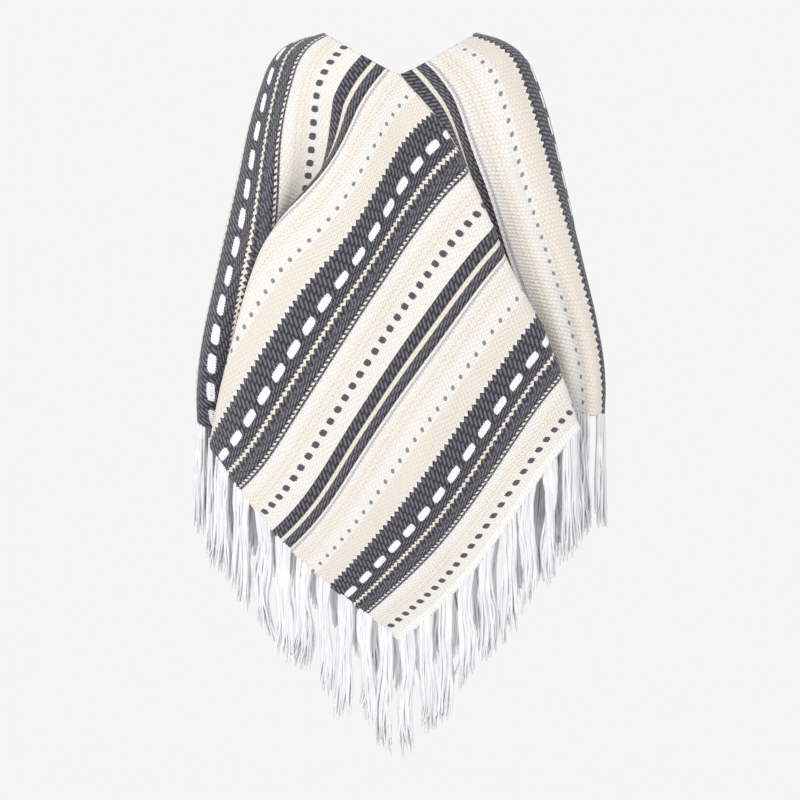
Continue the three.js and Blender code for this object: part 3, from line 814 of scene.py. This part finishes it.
# Fringe yarn: soft white unfinished fibre, loosely spun. It is matt with a woolly sheen, and a
# little lighter and darker along and from strand to strand.
def yarn_material():
    material = bpy.data.materials.new("white_fringe_yarn")
    material.use_nodes = True
    tree = material.node_tree
    shader = tree.nodes["Principled BSDF"]
    place = add_node(tree, "ShaderNodeTexCoord", {}, output=3)
    stretched = add_node(
        tree, "ShaderNodeVectorMath", {0: place, 1: FIBRE_STRETCH}, operation="MULTIPLY"
    )
    tone = add_node(tree, "ShaderNodeTexNoise", {"Vector": stretched, "Scale": 1.0, "Detail": 3.0})
    colour = blend(tree, between(tree, tone, 0.35, 0.7), linear(FIBRE_SHADE), linear(FIBRE_LIGHT))
    tree.links.new(colour, shader.inputs["Base Color"])
    twist = add_node(tree, "ShaderNodeTexNoise", {"Vector": stretched, "Scale": 6.0, "Detail": 2.0})
    bump = add_node(tree, "ShaderNodeBump", {"Height": twist, "Strength": 0.4, "Distance": 0.001})
    tree.links.new(bump, shader.inputs["Normal"])
    shader.inputs["Roughness"].default_value = 0.85
    shader.inputs["Sheen Weight"].default_value = 0.4
    return material


yarn = yarn_material()
dress(front_fringe, yarn, "fringe_front")
dress(back_fringe, yarn, "fringe_back")


# Studio: a plain pale floor of matt paint under a white surround. A broad soft light stands at
# the front left and a weaker one at the front right, so the knit shows its loops.
def plain_paint():
    material = bpy.data.materials.new("studio_paint")
    material.use_nodes = True
    shader = material.node_tree.nodes["Principled BSDF"]
    shader.inputs["Base Color"].default_value = linear("#f7f7f7")
    shader.inputs["Roughness"].default_value = 0.9
    return material


FLOOR_HALF_SIZE = 3
FLOOR_HEIGHT = -1.5


def studio_floor():
    flat = bmesh.new()
    bmesh.ops.create_grid(flat, x_segments=1, y_segments=1, size=FLOOR_HALF_SIZE)
    bmesh.ops.translate(flat, vec=(0, 0, FLOOR_HEIGHT), verts=flat.verts)
    mesh = bpy.data.meshes.new("studio_floor")
    flat.to_mesh(mesh)
    flat.free()
    mesh.materials.append(plain_paint())
    return link("studio_floor", mesh)


def area_light(name, location, aim, size, power):
    lamp = bpy.data.lights.new(name, "AREA")
    lamp.size = size
    lamp.energy = power
    made = link(name, lamp)
    made.location = location
    direction = np.array(aim) - np.array(location)
    made.rotation_euler = (
        math.acos(-direction[2] / np.linalg.norm(direction)),
        0,
        math.atan2(direction[1], direction[0]) - math.pi / 2,
    )
    return made


studio_floor()
LIT_MIDDLE = (0, 0, -0.5)
area_light("key_light", (-1.8, -3.2, 1.4), LIT_MIDDLE, size=1.4, power=72)
area_light("fill_light", (2.6, -2.6, 0.2), LIT_MIDDLE, size=2.6, power=18)
SURROUND_STRENGTH = 0.92
world = bpy.data.worlds.new("studio_light")
world.use_nodes = True
world.node_tree.nodes["Background"].inputs[0].default_value = linear("#ffffff")
world.node_tree.nodes["Background"].inputs[1].default_value = SURROUND_STRENGTH
bpy.context.scene.world = world
bpy.context.scene.view_settings.view_transform = "Standard"

# Camera: straight in front, level with the middle of the poncho, through a long lens. It takes
# in a frame of this height at the front panel.
CAMERA_DISTANCE = 6.0
CAMERA_HEIGHT = -0.535
VIEW_HEIGHT = 1.16
FRONT_OF_PANEL = -0.06
FARTHEST_SEEN = 50
camera = bpy.data.objects.new("camera", bpy.data.cameras.new("camera"))
bpy.context.scene.collection.objects.link(camera)
camera.data.lens = camera.data.sensor_width * CAMERA_DISTANCE / VIEW_HEIGHT
camera.location = (0, FRONT_OF_PANEL - CAMERA_DISTANCE, CAMERA_HEIGHT)
camera.rotation_euler = (math.pi / 2, 0, 0)
camera.data.clip_end = FARTHEST_SEEN
bpy.context.scene.camera = camera
